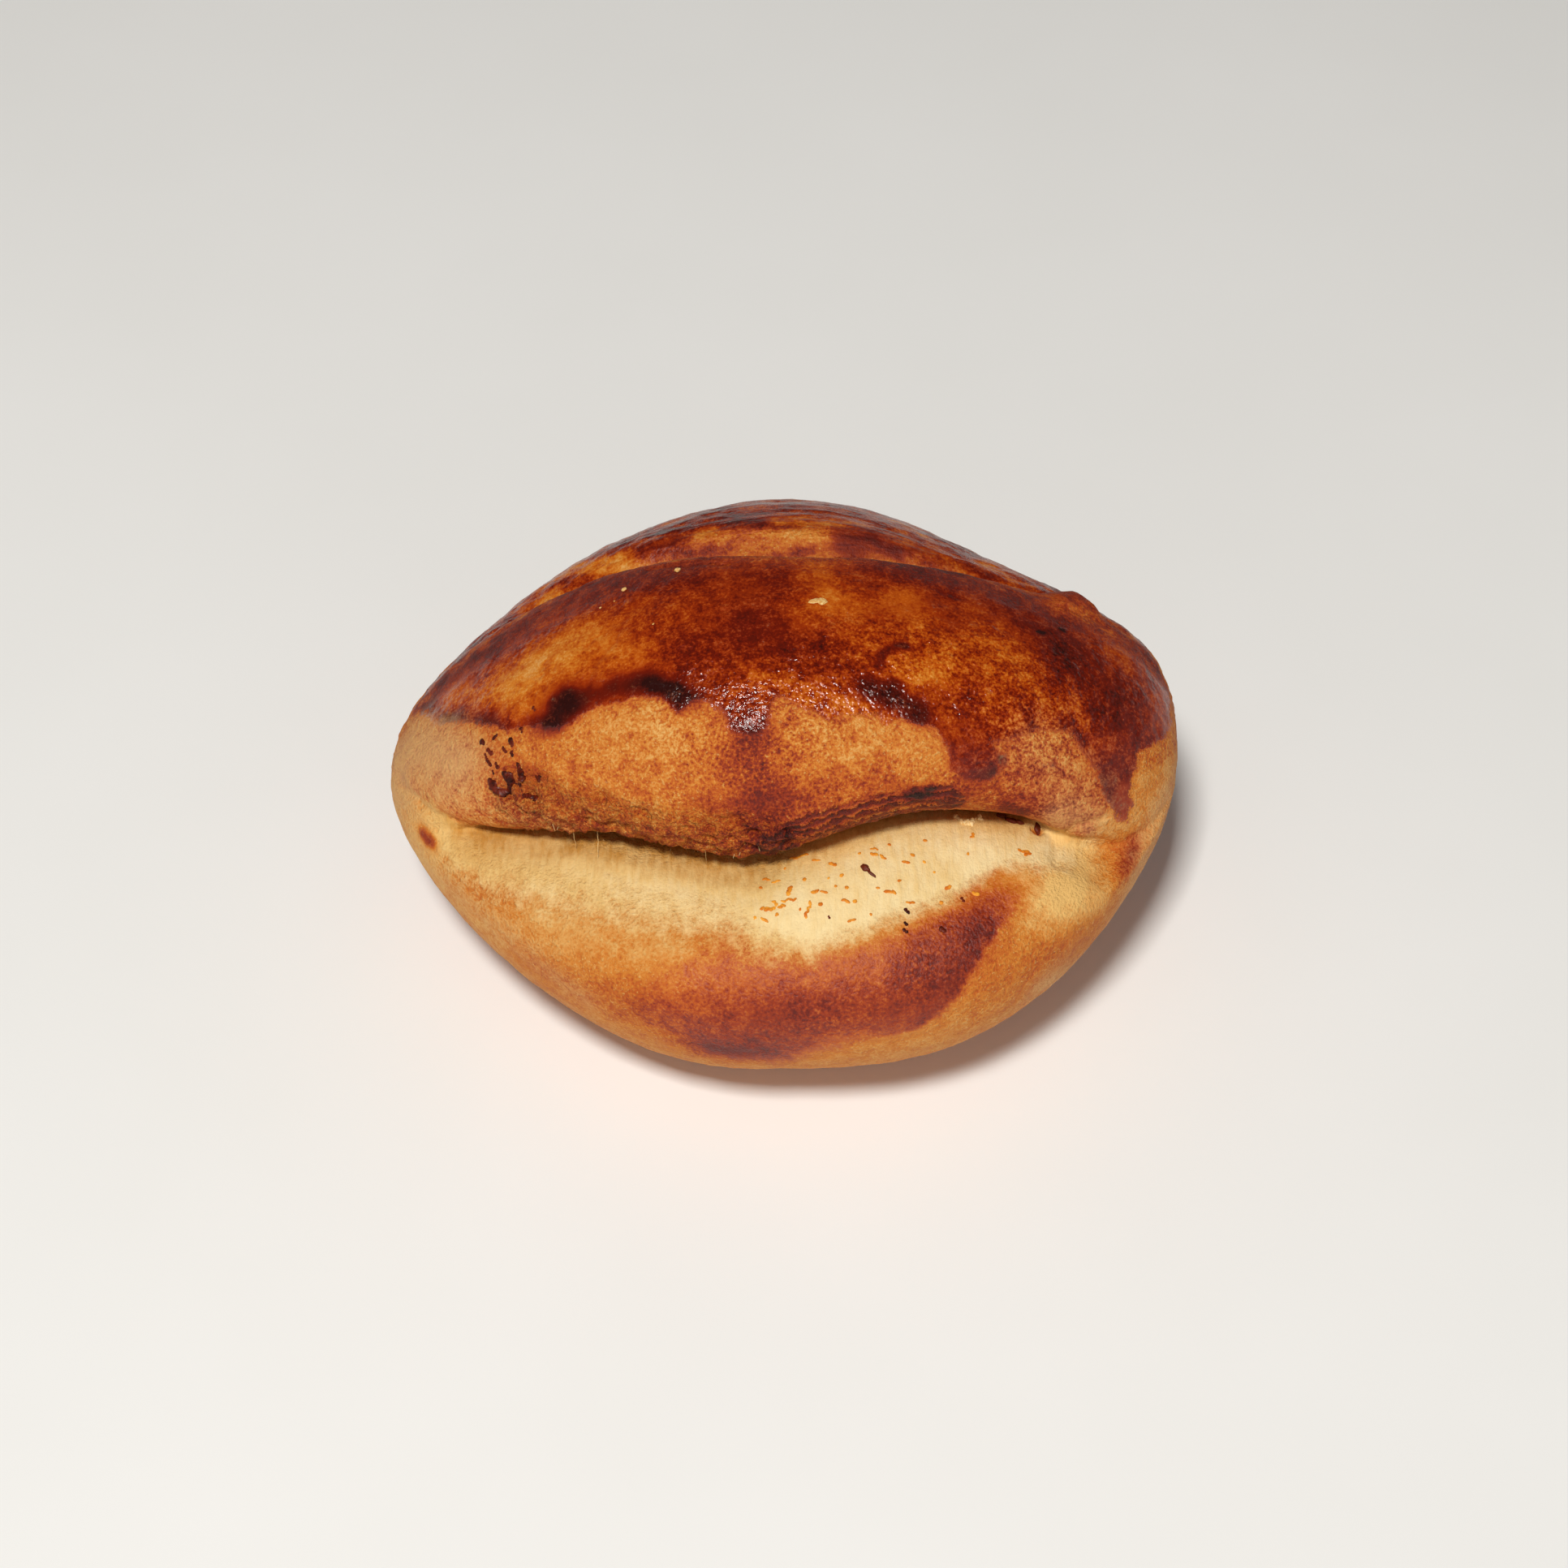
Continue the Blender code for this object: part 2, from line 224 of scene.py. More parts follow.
# Creases pressed into the crust, and how deep.
CREASES = (
    (0.5, 0.3, (700, 1030), (740, 1022), (790, 1034)),
    (0.5, 0.3, (820, 1046), (850, 1030), (900, 1036)), (0.3, 0.22, *CRACK),
    (0.8, 0.5, (480, 955), (500, 975), (530, 1000), (560, 1012)),
    (0.6, 0.4, (1300, 1030), (1330, 1018), (1360, 1012)),
    (0.6, 0.4, (1302, 1040), (1335, 1036), (1362, 1040)),
    (0.6, 0.35, (1306, 1050), (1340, 1056), (1368, 1066)), (0.8, 0.22, (958, 650), (964, 680)),
    (0.8, 0.24, (984, 652), (990, 682)), (0.8, 0.22, (1010, 652), (1016, 684)),
    (0.5, 0.4, (868, 690), (900, 680), (930, 684)), (0.5, 0.35, (800, 700), (850, 694), (900, 692)),
)
# Burnt specks on the upper lobe: half width and line as seen.
SPECKS = (
    (0.36, (604, 963), (610, 972), (619, 976), (628, 974), (631, 966), (629, 958), (622, 955)),
    (0.26, (638, 943), (641, 950), (643, 959)), (0.24, (646, 980), (653, 981), (660, 983)),
    (0.3, (662, 956), (664, 959)), (0.26, (594, 914), (596, 916)), (0.18, (608, 910), (612, 906)),
    (0.22, (629, 912), (631, 918)), (0.24, (601, 924), (605, 928)),
    (0.16, (598, 930), (600, 936), (604, 942)), (0.18, (611, 941), (613, 945)),
    (0.2, (620, 922), (623, 926)), (0.16, (630, 927), (631, 930)), (0.14, (642, 898), (643, 902)),
    (0.16, (657, 872), (659, 875)), (0.14, (607, 950), (608, 953)), (0.14, (640, 966), (641, 968)),
    (0.2, (1116, 1121), (1119, 1124)), (0.16, (1115, 1137), (1117, 1139)),
    (0.16, (1114, 1146), (1117, 1148)), (0.2, (1160, 1145), (1163, 1147)),
    (0.16, (1185, 1107), (1187, 1110)), (0.1, (1021, 1129), (1022, 1131)),
)
# Flecks of crust on the crumb: where as seen, length, turn in degrees.
FLECKS = (
    (942, 1119, 1.1, 10), (942, 1133, 0.9, -20), (949, 1120, 1.4, 0), (955, 1113, 0.9, -40),
    (957, 1127, 0.6, 80), (963, 1117, 1.0, 25), (972, 1109, 1.9, 8), (972, 1097, 1.5, 75),
    (996, 1121, 2.4, 70), (1004, 1099, 0.8, 0), (1015, 1099, 0.8, -30), (986, 1120, 0.4, 0),
    (1026, 1065, 1.0, -25), (1005, 1060, 1.0, -30), (987, 1055, 2.0, 12), (978, 1057, 1.1, 0),
    (967, 1070, 0.5, 80), (991, 1083, 0.6, 20), (1011, 1114, 0.7, 10), (1042, 1110, 1.0, -30),
    (1054, 1111, 0.6, 60), (1049, 1134, 0.9, 20), (1095, 1041, 0.6, -60), (1077, 1046, 0.9, 0),
    (1077, 1053, 0.8, 0), (1088, 1056, 0.8, -40), (1116, 1062, 0.8, 5), (1125, 1053, 0.7, -50),
    (1139, 1062, 0.4, 0), (1108, 1085, 0.7, 0), (1097, 1099, 1.6, -12), (1081, 1094, 0.4, 80),
    (1122, 1112, 1.1, 15), (1073, 1126, 0.4, 0), (1151, 1074, 0.4, 0), (1168, 1093, 0.8, 30),
    (1160, 1112, 0.6, 60), (1202, 1101, 0.8, 0), (1192, 1052, 0.6, 80), (1199, 1030, 0.9, 70),
    (1261, 1049, 1.4, 0), (1266, 1052, 1.0, 40), (1140, 1035, 0.6, 0), (1059, 1051, 0.4, 0),
    (1043, 1093, 0.6, 40), (1021, 1082, 0.4, 0), (1037, 1079, 0.7, 45), (1030, 1092, 0.4, 10),
    (956, 1086, 0.9, 10), (944, 1083, 0.9, 0), (938, 1094, 0.5, 60), (930, 1131, 0.6, 0),
)
# A small hole at the mouth's right corner, painted near-black inside as its shade, and how wide it is.
MOUTH_HOLE = (1279, 1022)
HOLE_WIDTH = 0.8
# Dark bits in the mouth: where as seen, lift, length, width, thickness, turn in degrees.
DARK_BITS = (
    ((1066, 1070), 0.2, 1.35, 0.9, 0.7, -38), ((1074, 1077), 0.05, 1.5, 0.45, 0.3, -42),
    (MOUTH_HOLE, 0.0, 1.1, 1.9, 0.7, 8), ((1234, 1006), 0.1, 1.6, 0.8, 0.7, -20),
    ((1246, 1012), 0.1, 1.9, 0.95, 0.7, -20), ((1256, 1014), 0.1, 1.3, 0.65, 0.7, -20),
)
# The flake on top, in three chips: shift along, length, width, turn in degrees.
TOP_FLAKE = (1008, 741)
FLAKE_CHIPS = ((-0.55, 1.5, 0.8, 30), (0.45, 1.6, 1.2, -25), (0.1, 1.9, 0.7, 5))
# Crumbs on top: where as seen, size.
TOP_CRUMBS = ((769, 727, 0.36), (835, 703, 0.42), (740, 749, 0.16), (757, 741, 0.14), (805, 769, 0.16))
# Strands: top and foot as seen. Hairs on the lip, and the torn tuft at the mouth's corner.
STRANDS = (
    ((736, 1024), (737, 1058)), ((760, 1030), (759, 1062)), ((868, 1048), (872, 1066)),
    ((770, 1032), (772, 1058)), ((845, 1046), (848, 1066)), ((706, 1018), (710, 1046)),
)
HAIRS = (
    (681, 1016), (688, 1018), (738, 1030), (744, 1036), (826, 1048), (829, 1052), (855, 1050),
    (860, 1050), (905, 1052), (912, 1050), (935, 1044),
)
TUFT = ((1180, 1008), (1187, 1013), (1194, 1016), (1200, 1011), (1206, 1008))
# The small swelling at the fold's right end.
SHOULDER = ((1308, 742), (1334, 744))
SHOULDER_WIDTH = 1.9


def paint(red, green, blue):
    """A screen colour from 0 to 255 as the linear colour that shaders use."""
    channels = []
    for value in (red, green, blue):
        share = value / 255
        channels.append(share / 12.92 if share <= 0.04045 else ((share + 0.055) / 1.055) ** 2.4)
    return (*channels, 1.0)


def colour_property(name, description, red, green, blue):
    return FloatVectorProperty(
        name=name, description=description, subtype="COLOR", size=4, min=0.0, max=1.0,
        default=paint(red, green, blue),
    )


def number_property(name, description, default, low, high, **kind):
    return FloatProperty(name=name, description=description, default=default, min=low, max=high, **kind)


class PogacaCrust(bpy.types.PropertyGroup):
    """Colours and relief of the crust."""

    relief: number_property(
        "Relief", "How far the crust's lumps and cracks stand out", 1.0, 0.0, 1.5, subtype="FACTOR")
    pale: colour_property("Pale crust", "Crust that baked least", 232, 184, 108)
    golden: colour_property("Golden crust", "Crust that baked golden", 206, 124, 38)
    amber: colour_property("Amber crust", "Crust that baked amber", 184, 84, 10)
    red: colour_property("Red-brown crust", "Crust that baked red-brown", 148, 46, 2)
    dark: colour_property("Dark crust", "Crust that baked dark", 106, 20, 1)
    # This burnt colour also paints the shade inside the hole at the mouth's corner.
    scorch_and_hole_shade: colour_property("Scorched crust", "Crust that burnt", 42, 9, 6)
    bloom: colour_property("Floury bloom", "Crust with flour baked on", 214, 168, 112)
    washed: number_property(
        "Wash depth", "How much darker the egg wash bakes", 0.26, 0.0, 0.6, subtype="FACTOR")


class PogacaCrumb(bpy.types.PropertyGroup):
    """Colours of the torn bread inside the mouth, and the bits that lie on it."""

    light: colour_property("Crumb", "Soft bread that shows in the mouth", 240, 214, 160)
    shade: colour_property("Crumb hollows", "The crumb's deeper pores", 230, 192, 124)
    # Painted shade, in part: this colour is the inner crumb's own darker gold and also stands in for the
    # shade under the upper lip.
    deep: colour_property("Inmost crumb", "Moist crumb deep in the mouth", 196, 140, 62)
    fleck: colour_property("Flecks", "Thin flecks of crust on the crumb", 236, 160, 52)
    speck: colour_property("Specks", "Burnt specks", 104, 32, 14)
    fleck_thickness: number_property(
        "Fleck thickness", "How thick a fleck is", 0.00016, 0.00005, 0.0005, unit="LENGTH")


class PogacaStage(bpy.types.PropertyGroup):
    """The floor and the lights."""

    floor: colour_property("Floor", "Plain pale floor", 238, 238, 236)
    key_power: number_property("Key light", "Power of the lamp above", 8.6, 0.0, 50.0, unit="POWER")
    key_size: number_property("Key size", "Width of the lamp above", 0.16, 0.01, 1.0, unit="LENGTH")
    sky: number_property("Soft light", "Strength of the light from all round", 0.8, 0.0, 2.0)


# ---- places on the crust


def middle_height(along):
    """Height of the roll's middle line, in mm, at mm along it."""
    return np.interp(along, MIDDLE_ALONG, MIDDLE_HEIGHT)


def round_place(point):
    """A point in metres as (mm along, degrees round)."""
    x, y, z = (float(value) / MM for value in point)
    degrees = math.degrees(math.atan2(z - float(middle_height(x)), MIDDLE_BACK - y))
    return x, degrees + 360 if degrees < -90 else degrees


def vertex_rows(mesh, what):
    """Every vertex's co or normal, one row each."""
    values = np.empty(len(mesh.vertices) * 3, np.float32)
    mesh.vertices.foreach_get(what, values)
    return values.reshape(-1, 3)


def place_vertices(mesh, points):
    """Puts every vertex at its point, kept inside the CAD model's box."""
    kept = np.clip(points, CAD_LOW, CAD_HIGH)
    mesh.vertices.foreach_set("co", kept.astype(np.float32).ravel())
    mesh.update()


class Skin:
    """A mesh's surface, to be looked at from the camera or from outside, and measured along."""

    def __init__(self, mesh):
        self.points = vertex_rows(mesh, "co").astype(float)
        faces = [tuple(face.vertices) for face in mesh.polygons]
        self.tree = BVHTree.FromPolygons([tuple(p) for p in self.points], faces)
        self.along = self.points[:, 0] / MM
        forward = MIDDLE_BACK - self.points[:, 1] / MM
        up = self.points[:, 2] / MM - middle_height(self.along)
        degrees = np.degrees(np.arctan2(up, forward))
        self.round = np.where(degrees < -90, degrees + 360, degrees)
        self.out = np.hypot(forward, up)
        self.wander_along = self.wander_round = 0.0

    def wander(self, amount):
        """Makes the gaps that follow wander by up to amount mm, so that marks get uneven outlines."""
        spots = self.points / MM
        for seed, name in ((21, "wander_along"), (22, "wander_round")):
            drift = 0.8 * grain(spots, 4.2, seed, 2) + 0.4 * grain(spots, 1.5, seed + 5, 2)
            setattr(self, name, amount * drift)

    def seen(self, across, down):
        """The point and normal that the camera sees at a place in its view."""
        start = VIEW_AIM + VIEW_BACK * VIEW_DISTANCE
        right = (across / VIEW_SIDE - 0.5) * VIEW_WIDTH
        up = (0.5 - down / VIEW_SIDE) * VIEW_WIDTH
        target = VIEW_AIM + Vector((right, 0, 0)) + VIEW_UP * up
        point, normal, _, _ = self.tree.ray_cast(start, (target - start).normalized())
        if point is None:
            point, normal, _, _ = self.tree.find_nearest(target)
        return point, normal

    def path(self, places):
        """Places as seen, turned into places round the roll."""
        return [round_place(self.seen(*place)[0]) for place in places]

    def gap(self, path):
        """How far every vertex is from a path of places round the roll, in mm along the crust."""
        nearest = np.full(len(self.along), np.inf)
        for (along_a, round_a), (along_b, round_b) in zip(path, path[1:]):
            ax = along_a - self.along + self.wander_along
            ay = np.radians(round_a - self.round) * self.out + self.wander_round
            dx, dy = along_b - along_a, np.radians(round_b - round_a) * self.out
            share = np.clip(-(ax * dx + ay * dy) / (dx * dx + dy * dy + 1e-9), 0, 1)
            nearest = np.minimum(nearest, np.hypot(ax + share * dx, ay + share * dy))
        return nearest

    def near(self, places):
        """The gap to a line of places as seen."""
        return self.gap(self.path(places))

    def over(self, degrees):
        """How far every vertex is over a line in degrees round, in mm along the crust."""
        return np.radians(self.round - degrees) * self.out

    def reach(self, place):
        """How far every vertex is from a place as seen, in mm straight."""
        return np.linalg.norm(self.points - np.array(self.seen(*place)[0]), axis=1) / MM

    def signed_gap(self, outline):
        """The gap to a closed outline of places round the roll, positive inside it."""
        inside = np.zeros(len(self.along), bool)
        closed = list(outline) + [outline[0]]
        for (along_a, round_a), (along_b, round_b) in zip(closed, closed[1:]):
            crosses = (along_a > self.along) != (along_b > self.along)
            share = (self.along - along_a) / (along_b - along_a if along_b != along_a else 1e-9)
            inside ^= crosses & (self.round < round_a + share * (round_b - round_a))
        return np.where(inside, 1.0, -1.0) * self.gap(closed)

    def marks(self, strokes):
        """Several soft strokes laid over each other at every vertex, from 0 to 1."""
        clear = np.ones(len(self.along))
        for half_width, strength, *places in strokes:
            far = self.near(places) / half_width
            clear *= 1.0 - strength * np.exp(-0.7 * far ** 2)
        return 1.0 - clear


def smooth_step(low, high, value):
    share = np.clip((value - low) / (high - low), 0.0, 1.0)
    return share * share * (3.0 - 2.0 * share)


def bell(distance, width, power=2):
    """1 at no distance, falling to almost 0 past the width."""
    return np.exp(-((distance / width) ** power))


def grain(points, size, seed, octaves=3):
    """Noise from about -1 to 1 at points in mm, in lumps of that size along each axis."""
    shift = np.array((17.3, 5.1, 9.7)) * seed
    places = points / np.asarray(size, float) + shift
    return np.array([noise.fractal(Vector(place), 1.0, 2.1, octaves) for place in places])


# ---- the roll


def new_object(name, data):
    """An object that holds the data, linked into the scene."""
    made = bpy.data.objects.new(name, data)
    bpy.context.scene.collection.objects.link(made)
    return made


def smooth_copy(node, levels):
    """A finer, rounder copy of a CAD node's mesh."""
    form = bmesh.new()
    form.from_mesh(node.data)
    bmesh.ops.remove_doubles(form, verts=form.verts, dist=1e-6)
    bmesh.ops.join_triangles(form, faces=form.faces, angle_face_threshold=0.7,
                             angle_shape_threshold=math.pi)
    mesh = bpy.data.meshes.new("rounded")
    form.to_mesh(mesh)
    form.free()
    rough = new_object("rounded", mesh)
    finer = rough.modifiers.new("finer", "SUBSURF")
    finer.levels = finer.render_levels = levels
    bpy.context.view_layer.update()
    smooth = bpy.data.meshes.new_from_object(rough.evaluated_get(bpy.context.evaluated_depsgraph_get()))
    bpy.data.objects.remove(rough)
    bpy.data.meshes.remove(mesh)
    smooth.shade_smooth()
    return smooth


def mouth_line(skin):
    """The mouth's deepest line, in degrees round, for every vertex."""
    stations = np.arange(*MOUTH_ALONG, 2.0)
    low, high = MOUTH_ROUND
    deepest = []
    for station in stations:
        near = (np.abs(skin.along - station) < 1.2) & (skin.round > low) & (skin.round < high)
        deepest.append(skin.round[near][np.argmin(skin.out[near])])
    deepest = np.convolve(np.pad(deepest, 1, mode="edge"), (0.25, 0.5, 0.25), mode="valid")
    return np.interp(skin.along, stations, deepest)


def crust_fields(skin):
    """What the crust is like at every vertex: the values that the relief and the shader read."""
    fields = {"wash": skin.signed_gap(skin.path(WASH_FRONT) + list(WASH_BACK))}
    mouth = mouth_line(skin)
    lower = np.interp(skin.along, *zip(*sorted(skin.path(CRUMB_FRONT))))
    below = skin.over(lower)
    above = -skin.over(mouth + LIP_TURN)
    left, right = CRUMB_ENDS
    ends = 0.4 * np.minimum(skin.along - left, right - skin.along)
    # on the left the crumb turns to crust slowly, on the right at once
    gradual = np.interp(skin.along, (-48, -5, 12, 24), (0.2, 0.26, 0.6, 1.0))
    beside = smooth_step(-2.4, -0.2, below) * smooth_step(-1.6, 0.8, ends)
    below = np.where(below < 0, below * gradual, below)
    fields["crumb"] = np.minimum(np.minimum(below, above * 1.5), ends)
    # Painted shade, in part: the crumb darkens within a few mm under the upper lip, widest at the left,
    # for its own darker inside and for the shade that the lip casts.
    inner_shade_width = np.interp(skin.along, (-50, -10, 15, 40), (6.0, 5.0, 3.0, 2.2))
    fields["deep"] = smooth_step(1.2, 0.1, above / inner_shade_width)
    skin.wander(1.3)
    fields["deeper"] = skin.marks(WASH_DEEPER) - 0.55 * skin.marks(WASH_LIGHTER)
    glaze = skin.signed_gap(skin.path(LOWER_GLAZE))
    edge = np.exp(-skin.near(GLAZE_EDGE) / GLAZE_FADE) * smooth_step(-0.4, 0.3, glaze)
    fields["glaze"] = np.maximum(smooth_step(-2.5, 2.5, glaze), smooth_step(0.1, 0.3, edge))
    skin.wander(0.8)
    # painted shade: the hole's dark inside is painted into the same field as the burnt crust
    hole_shade = bell(skin.reach(MOUTH_HOLE), HOLE_WIDTH, 4)
    fields["scorch_and_hole_shade"] = np.maximum(skin.marks(SCORCHED), hole_shade)
    lower_lip = smooth_step(2.0, -2.0, skin.round - mouth)
    near_crumb = smooth_step(-5.0, 0.0, fields["crumb"]) * lower_lip
    under = smooth_step(-8, -60, np.where(skin.round > 180, 180 - skin.round, skin.round))
    browned = skin.marks(BROWNED) - skin.marks(PALER) + 0.32 * edge - 0.1 * near_crumb - 0.1 * lower_lip
    browned -= 0.2 * beside * lower_lip
    fields["browned"] = browned + 0.12 * under
    fields["dull"] = skin.marks(DULL)
    for name, (width, start, full, *line) in BANDS.items():
        fields[name] = smooth_step(start, full, skin.near(line) / width)
    fields["smooth"] = lower_lip * (1.0 - fields["glaze"])
    fields["arc"] = skin.over(mouth)
    fields["rear"] = smooth_step(104, 118, skin.round) * smooth_step(215, 190, skin.round)
    fields["fold"] = smooth_step(98, 108, skin.round) * smooth_step(130, 120, skin.round)
    return fields


def relief(skin, fields):
    """How far every vertex moves out along its normal, in mm."""
    spots = skin.points / MM
    crumb = smooth_step(-0.6, 0.8, fields["crumb"])
    crust = 1.0 - crumb
    height = crust * (0.10 * grain(spots, 3.4, 1) + 0.05 * grain(spots, 1.3, 2))
    # wrinkled lip
    tilted = spots @ np.array(Matrix.Rotation(math.radians(24), 3, "Y"))
    wrinkles = 1.0 - 3.2 * np.abs(grain(tilted, (4.6, 2.6, 2.1), 3, 2))
    height += fields["crags"] * crust * (0.7 * wrinkles - 0.35 + 0.6 * grain(spots, 1.6, 4, 2))
    # burnt layers along the lip
    layers = (fields["arc"] + 1.7 * grain(spots, (3.6, 2.0, 2.0), 5)) / LAYER_PITCH
    step = np.mod(layers, 1.0)
    height += fields["layered"] * crust * (0.44 * step - 0.2 + 0.2 * grain(spots, 0.9, 6))
    # torn crumb, in fibres that run from the lower lip up under the upper one
    fibres = grain(spots * (1, 0.22, 0.22), 0.9, 7)
    height += crumb * (0.14 * fibres - 0.16 * smooth_step(0.25, 0.7, grain(spots, 1.1, 8)))
    # long ridges of the rear lobe
    height += fields["rear"] * 0.2 * grain(spots * (0.1, 1, 1), 1.6, 9)
    for half_width, deep, *places in CREASES:
        height -= deep * bell(skin.near(places), half_width)
    height += bell(skin.near(SHOULDER), SHOULDER_WIDTH)
    height -= 1.2 * bell(skin.reach(MOUTH_HOLE), HOLE_WIDTH)
    # nothing moves at the base, and there is room under the box's top for the crumbs that lie there
    height *= smooth_step(0.2, 3.0, spots[:, 2])
    return height - 0.45 * smooth_step(55.2, 57.6, spots[:, 2])


def store_fields(mesh, fields):
    for name, values in fields.items():
        attribute = mesh.attributes.new(name, "FLOAT", "POINT")
        attribute.data.foreach_set("value", np.asarray(values, np.float32))


def add_piece(name, mesh, material):
    """A finished piece of the roll, at the origin, inside the CAD model's box, that moves with it."""
    place_vertices(mesh, vertex_rows(mesh, "co"))
    piece = new_object(name, mesh)
    mesh.materials.clear()
    mesh.materials.append(material)
    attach(piece, "root")
    return piece


def crust_skin():
    """The finished roll's surface, for the pieces that lie on it."""
    return Skin(bpy.data.objects["baked_roll"].data)


# ---- shader parts


def add(tree, kind, inputs=None, **settings):
    """A node with its settings, its inputs set to values or joined to sockets or, by name, to fields."""
    node = tree.nodes.new(kind)
    for name, value in settings.items():
        setattr(node, name, value)
    for key, value in (inputs or {}).items():
        if isinstance(value, str):
            value = field(tree, value)
        if isinstance(value, bpy.types.NodeSocket):
            tree.links.new(value, node.inputs[key])
        else:
            node.inputs[key].default_value = value
    return node


def sums(tree, operation, *values):
    """One Math node's result."""
    return add(tree, "ShaderNodeMath", dict(enumerate(values)), operation=operation).outputs[0]


def times(tree, first, second):
    return sums(tree, "MULTIPLY", first, second)


def total(tree, first, *others):
    """The sum of terms, each a pair of a socket, a field's name or a number, and its factor."""
    result = times(tree, *first)
    for value, factor in others:
        result = sums(tree, "MULTIPLY_ADD", value, factor, result)
    return result


def rise(tree, value, low, high):
    """A smooth step from 0 at low to 1 at high."""
    return add(
        tree, "ShaderNodeMapRange", {"Value": value, "From Min": low, "From Max": high},
        interpolation_type="SMOOTHSTEP",
    ).outputs[0]


def mixed(tree, factor, first, second):
    """Two colours mixed."""
    return add(tree, "ShaderNodeMix", {0: factor, 6: first, 7: second}, data_type="RGBA").outputs[2]


def shades(tree, value, *stops):
    """A colour ramp through (place, colour) stops."""
    node = add(tree, "ShaderNodeValToRGB", {0: value})
    ramp = node.color_ramp
    for place, colour in stops[1:-1]:
        ramp.elements.new(place).color = colour
    ramp.elements[0].position, ramp.elements[0].color = stops[0]
    ramp.elements[-1].position, ramp.elements[-1].color = stops[-1]
    return node.outputs[0]


def field(tree, name):
    return add(tree, "ShaderNodeAttribute", attribute_name=name).outputs["Fac"]


def spots_in_mm(tree):
    """The place on the piece, in mm."""
    place = add(tree, "ShaderNodeTexCoord").outputs["Object"]
    return add(tree, "ShaderNodeVectorMath", {0: place, "Scale": 1 / MM}, operation="SCALE").outputs[0]


def lumps(tree, place, size, detail=3.0, roughness=0.55, stretch=None):
    """Noise from 0 to 1, in lumps of that size in mm."""
    if stretch:
        place = add(tree, "ShaderNodeVectorMath", {0: place, 1: stretch}, operation="MULTIPLY").outputs[0]
    inputs = {"Vector": place, "Scale": 1 / size, "Detail": detail, "Roughness": roughness}
    return add(tree, "ShaderNodeTexNoise", inputs).outputs["Fac"]


def baked_grain_group():
    """The fine grain that every baked surface shares: a shade from 0 to 1 and a height in mm."""
    name = "Baked grain"
    if name in bpy.data.node_groups:
        return bpy.data.node_groups[name]
    tree = bpy.data.node_groups.new(name, "ShaderNodeTree")
    for label, way in (("Size", "INPUT"), ("Depth", "INPUT"), ("Shade", "OUTPUT"), ("Height", "OUTPUT")):
        tree.interface.new_socket(label, in_out=way, socket_type="NodeSocketFloat")
    given = add(tree, "NodeGroupInput").outputs
    scale = sums(tree, "DIVIDE", 1.0, given["Size"])
    inputs = {"Vector": spots_in_mm(tree), "Scale": scale, "Detail": 3.0, "Roughness": 0.6}
    fine = add(tree, "ShaderNodeTexNoise", inputs).outputs["Fac"]
    height = times(tree, sums(tree, "SUBTRACT", fine, 0.5), given["Depth"])
    add(tree, "NodeGroupOutput", {"Shade": fine, "Height": height})
    return tree


def baked_grain(tree, size, depth):
    """The shared grain, placed in a material: its shade and its height."""
    node = add(tree, "ShaderNodeGroup", {"Size": size, "Depth": depth}, node_tree=baked_grain_group())
    return node.outputs["Shade"], node.outputs["Height"]


def new_material(name, **constants):
    """A material with one Principled shader: its tree and that shader."""
    material = bpy.data.materials.new(name)
    material.use_nodes = True
    shader = material.node_tree.nodes["Principled BSDF"]
    for key, value in constants.items():
        shader.inputs[key.replace("_", " ")].default_value = value
    return material, material.node_tree, shader


def join(tree, shader, colour, rough, height):
    """Gives the shader its colour, its roughness and a height in mm."""
    node = add(tree, "ShaderNodeBump", {"Height": height, "Distance": MM, "Strength": 1.0})
    joined = {"Base Color": colour, "Roughness": rough, "Normal": node.outputs["Normal"]}
    for name, socket in joined.items():
        tree.links.new(socket, shader.inputs[name])


# ---- materials


def toasted(tree, crust, tone):
    """The crust's colour for how far it baked, from 0, pale, to 1, burnt."""
    return shades(
        tree, total(tree, (tone, 0.88)), (0.0, crust.pale), (0.28, crust.golden), (0.44, crust.amber),
        (0.58, crust.red), (0.72, crust.dark), (1.0, crust.scorch_and_hole_shade),
    )


def about(socket, factor):
    """A noise's share of a sum, with its middle value taken away: two terms for total()."""
    return (socket, factor), (1.0, -0.5 * factor)


